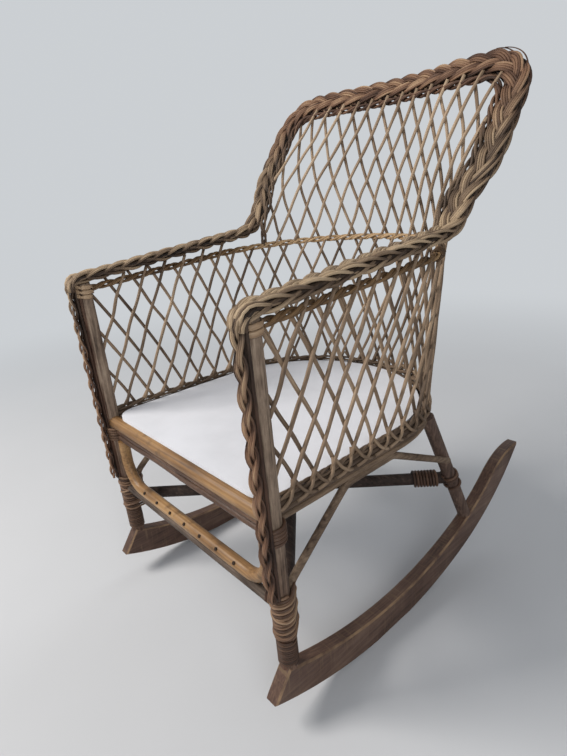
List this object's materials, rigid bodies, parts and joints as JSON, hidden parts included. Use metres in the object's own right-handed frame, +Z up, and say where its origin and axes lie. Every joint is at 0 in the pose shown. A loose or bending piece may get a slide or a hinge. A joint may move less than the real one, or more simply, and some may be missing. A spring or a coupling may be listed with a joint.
{
  "type": "wicker rocking chair",
  "caption": "Armchair of bent and woven willow on two curved rockers, with lattice sides and back, plaited arms and back border, and a loose white seat board",
  "frame": {"origin": "on the floor, midway between the rockers, at the middle of the worn flats where both rockers touch it with the seat level", "axes": "+Z is up, the chair faces -Y, +X is the sitter's left"},
  "size_m": [0.608, 0.7634, 0.9877],
  "materials": {
    "stained_board": "dark reddish-brown stain, worn pale along the arrises",
    "willow_pole": "weathered grey-brown bark, worn patches",
    "peeled_rattan": "yellowish peeled rattan, dull varnish",
    "bent_rod": "dark brown willow rod",
    "willow_weave": "brown willow strands with light-tan highlights",
    "willow_rod": "thin willow rods, brown to tan",
    "cane": "light-tan split cane",
    "white_board": "matte white",
    "nail_steel": "darkened flat nail head"
  },
  "bodies": {
    "chair": {"binding_corner_left": "cane", "binding_corner_right": "cane", "binding_cross_left": "cane", "binding_cross_right": "cane", "binding_fine_left": "cane", "binding_fine_right": "cane", "binding_foot_left": "cane", "binding_foot_right": "cane", "binding_head_left": "cane", "binding_head_right": "cane", "bow_nails": "nail_steel", "cross_stretcher_left": "willow_pole", "cross_stretcher_right": "willow_pole", "front_bow": "peeled_rattan", "front_post_left": "willow_pole", "front_post_right": "willow_pole", "front_reed_1": "bent_rod", "front_reed_2": "bent_rod", "front_stretcher": "willow_pole", "lattice_back_lower": "willow_rod", "lattice_back_upper": "willow_rod", "lattice_side_left": "willow_rod", "lattice_side_right": "willow_rod", "plait_arm_left": "willow_weave", "plait_arm_right": "willow_weave", "plait_back": "willow_weave", "plait_post_left": "willow_weave", "plait_post_right": "willow_weave", "rear_bow": "bent_rod", "rear_leg_left": "willow_pole", "rear_leg_right": "willow_pole", "rocker_left": "stained_board", "rocker_right": "stained_board", "seat_front_rail": "peeled_rattan", "seat_hoop_1": "bent_rod", "seat_hoop_2": "bent_rod", "seat_hoop_3": "bent_rod", "seat_hoop_top": "bent_rod", "seat_ledge": "bent_rod", "side_arch_left": "bent_rod", "side_arch_right": "bent_rod", "wale_arm_left": "willow_weave", "wale_arm_right": "willow_weave", "wale_back": "willow_weave", "wale_top": "willow_weave"},
    "panel": {"seat_panel": "white_board"}
  },
  "joints": [
    {"name": "panel_lift", "type": "slide", "parent": "chair", "child": "panel", "axis": [0, 0, 1], "range_m": [0, 0.62]}
  ]
}
